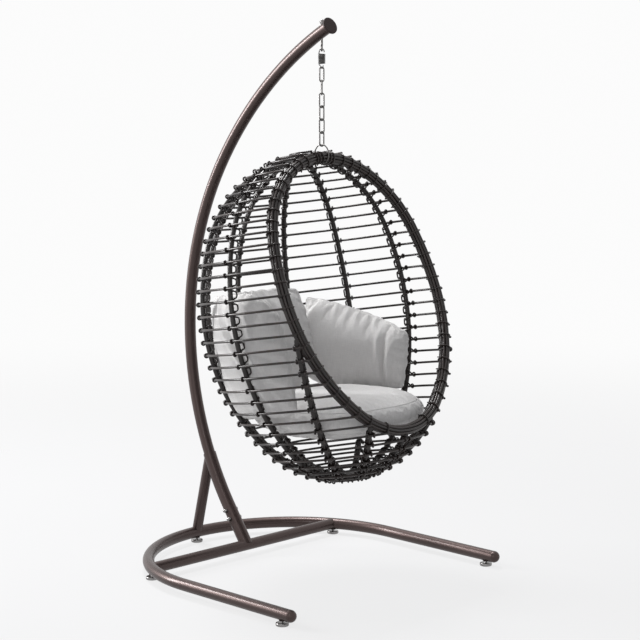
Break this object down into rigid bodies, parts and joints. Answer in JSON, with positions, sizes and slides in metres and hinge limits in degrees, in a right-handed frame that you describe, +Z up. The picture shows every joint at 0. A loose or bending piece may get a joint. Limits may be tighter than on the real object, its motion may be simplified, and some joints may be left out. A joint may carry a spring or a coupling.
{
  "type": "hanging egg chair",
  "caption": "Egg-shaped hanging chair of open canes with loose cushions, held by a ring, chain and spring under a bent tube mast on a low U-shaped base.",
  "frame": {"origin": "centre of the rear foot on the floor, straight behind the mast", "axes": "+Z up, the chair faces -Y, +X to its left-hand side as one sits in it"},
  "size_m": [1.072, 1.1265, 1.9594],
  "materials": {
    "stand_paint": "glossy brown paint",
    "bright_steel": "zinc plated",
    "dark_steel": "dark plated",
    "cap_plastic": "moulded",
    "cane": "smooth synthetic cane",
    "linen": "woven linen"
  },
  "bodies": {
    "stand": {"base_rail": "stand_paint", "leg_cap_left": "stand_paint", "leg_cap_right": "stand_paint", "cross_bar": "stand_paint", "mast_socket": "stand_paint", "rear_strut": "stand_paint", "mast": "stand_paint", "mast_cap": "cap_plastic", "socket_bolts": "bright_steel", "socket_nuts": "bright_steel", "hanger_bolt": "dark_steel", "hanger_nut": "bright_steel", "foot_inserts": "cap_plastic"},
    "foot_1": {"foot_stem_1": "bright_steel", "foot_pad_1": "bright_steel"},
    "foot_2": {"foot_stem_2": "bright_steel", "foot_pad_2": "bright_steel"},
    "foot_3": {"foot_stem_3": "bright_steel", "foot_pad_3": "bright_steel"},
    "foot_4": {"foot_stem_4": "bright_steel", "foot_pad_4": "bright_steel"},
    "foot_5": {"foot_stem_5": "bright_steel", "foot_pad_5": "bright_steel"},
    "spring": {"spring": "dark_steel"},
    "link_1": {"link_1": "dark_steel"},
    "link_2": {"link_2": "dark_steel"},
    "link_3": {"link_3": "dark_steel"},
    "link_4": {"link_4": "dark_steel"},
    "link_5": {"link_5": "dark_steel"},
    "link_6": {"link_6": "dark_steel"},
    "hang_ring": {"hang_ring": "dark_steel"},
    "basket": {"rim": "cane", "rim_bindings": "cane", "bottom_hub": "cane", "top_hub": "cane", "rib_01": "cane", "rib_02": "cane", "rib_03": "cane", "rib_04": "cane", "rib_05": "cane", "rib_06": "cane", "rib_07": "cane", "rib_08": "cane", "rib_09": "cane", "rib_10": "cane", "rib_11": "cane", "rib_12": "cane", "rungs_foot": "cane", "rungs_seat": "cane", "rungs_back": "cane", "rungs_shoulder": "cane", "rungs_crown": "cane", "seat_cushion": "linen", "pillow_left": "linen", "pillow_back": "linen", "pillow_right": "linen"}
  },
  "joints": [
    {"name": "foot_1_screw", "type": "slide", "parent": "stand", "child": "foot_1", "axis": [0, 0, -1], "range_m": [0, 0.008]},
    {"name": "foot_2_screw", "type": "slide", "parent": "stand", "child": "foot_2", "axis": [0, 0, -1], "range_m": [0, 0.008]},
    {"name": "foot_3_screw", "type": "slide", "parent": "stand", "child": "foot_3", "axis": [0, 0, -1], "range_m": [0, 0.008]},
    {"name": "foot_4_screw", "type": "slide", "parent": "stand", "child": "foot_4", "axis": [0, 0, -1], "range_m": [0, 0.008]},
    {"name": "foot_5_screw", "type": "slide", "parent": "stand", "child": "foot_5", "axis": [0, 0, -1], "range_m": [0, 0.008]},
    {"name": "hook_swing", "type": "hinge", "parent": "stand", "child": "spring", "pos_m": [0, -0.668, 1.848], "axis": [1, 0, 0], "range_deg": [-20, 5]},
    {"name": "spring_stretch", "type": "slide", "parent": "spring", "child": "link_1", "axis": [0, 0, -1], "range_m": [0, 0.03], "stiffness_N_per_m": 12000, "springref_m": -0.03, "deforming": ["spring"]},
    {"name": "link_2_tilt", "type": "hinge", "parent": "link_1", "child": "link_2", "pos_m": [0, -0.668, 1.745], "axis": [0, 1, 0], "range_deg": [-7, 7]},
    {"name": "link_3_tilt", "type": "hinge", "parent": "link_2", "child": "link_3", "pos_m": [0, -0.668, 1.701], "axis": [1, 0, 0], "range_deg": [-5, 2]},
    {"name": "link_4_tilt", "type": "hinge", "parent": "link_3", "child": "link_4", "pos_m": [0, -0.668, 1.657], "axis": [0, 1, 0], "range_deg": [-6, 6]},
    {"name": "link_5_tilt", "type": "hinge", "parent": "link_4", "child": "link_5", "pos_m": [0, -0.668, 1.613], "axis": [1, 0, 0], "range_deg": [-7, 2]},
    {"name": "link_6_tilt", "type": "hinge", "parent": "link_5", "child": "link_6", "pos_m": [0, -0.668, 1.569], "axis": [0, 1, 0], "range_deg": [-5, 5]},
    {"name": "ring_turn", "type": "hinge", "parent": "link_6", "child": "hang_ring", "pos_m": [0, -0.668, 1.52555], "axis": [0, 0, 1], "range_deg": [-30, 30]},
    {"name": "basket_rock", "type": "hinge", "parent": "hang_ring", "child": "basket", "pos_m": [0, -0.668, 1.4829], "axis": [1, 0, 0], "range_deg": [-8, 3]}
  ]
}
